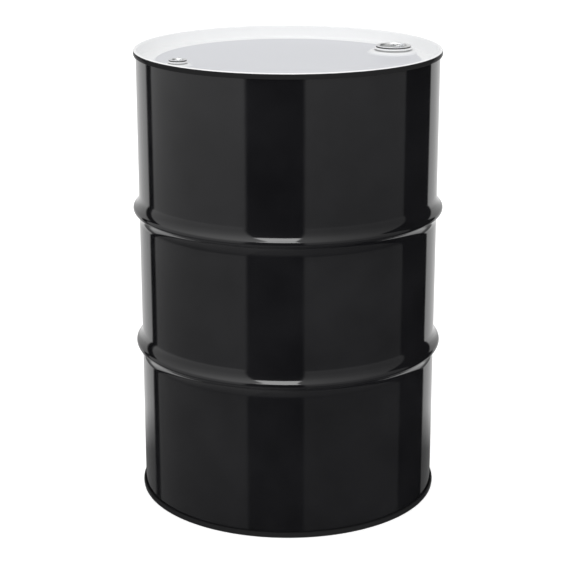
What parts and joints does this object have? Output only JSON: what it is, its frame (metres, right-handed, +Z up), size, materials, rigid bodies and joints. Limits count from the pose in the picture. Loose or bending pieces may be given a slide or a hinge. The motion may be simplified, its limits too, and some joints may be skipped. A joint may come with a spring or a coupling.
{
  "type": "steel oil drum",
  "caption": "Closed-head steel drum with rolling hoops, double-seamed chimes and a recessed head that holds a large pouring plug and a small vent plug, both of which unscrew.",
  "frame": {"origin": "centre of the drum's foot, on the floor under its axis", "axes": "+Z up along the drum's axis, +X towards the large pouring closure, the small vent closure towards -X"},
  "size_m": [0.597, 0.597, 0.876],
  "materials": {
    "black_enamel": "gloss enamel with fine orange peel",
    "white_enamel": "semi-gloss enamel",
    "zinc_plate": "bright zinc plate",
    "black_rubber": "matt",
    "sealing_compound": "matt"
  },
  "bodies": {
    "drum": {"body_shell": "black_enamel", "top_head": "white_enamel", "bottom_head": "black_enamel", "top_seam_compound": "sealing_compound", "bottom_seam_compound": "sealing_compound", "large_flange": "zinc_plate", "large_flange_gasket": "black_rubber", "small_flange": "zinc_plate", "small_flange_gasket": "black_rubber"},
    "large_gasket": {"large_plug_gasket": "black_rubber"},
    "large_plug": {"large_plug": "zinc_plate"},
    "small_gasket": {"small_plug_gasket": "black_rubber"},
    "small_plug": {"small_plug": "zinc_plate"}
  },
  "joints": [
    {"name": "large_plug_lift", "type": "slide", "parent": "drum", "child": "large_gasket", "axis": [0, 0, 1], "range_m": [0, 0.01155]},
    {"name": "large_plug_turn", "type": "hinge", "parent": "large_gasket", "child": "large_plug", "pos_m": [0.217, 0, 0.8644], "axis": [0, 0, 1], "range_deg": [0, 1800]},
    {"name": "small_plug_lift", "type": "slide", "parent": "drum", "child": "small_gasket", "axis": [0, 0, 1], "range_m": [0, 0.00908]},
    {"name": "small_plug_turn", "type": "hinge", "parent": "small_gasket", "child": "small_plug", "pos_m": [-0.217, 0, 0.8621], "axis": [0, 0, 1], "range_deg": [0, 1800]}
  ],
  "couplings": [
    {"joint": "large_plug_lift", "follows": "large_plug_turn", "m_per_rad": 0.00036749},
    {"joint": "small_plug_lift", "follows": "small_plug_turn", "m_per_rad": 0.00028871}
  ]
}
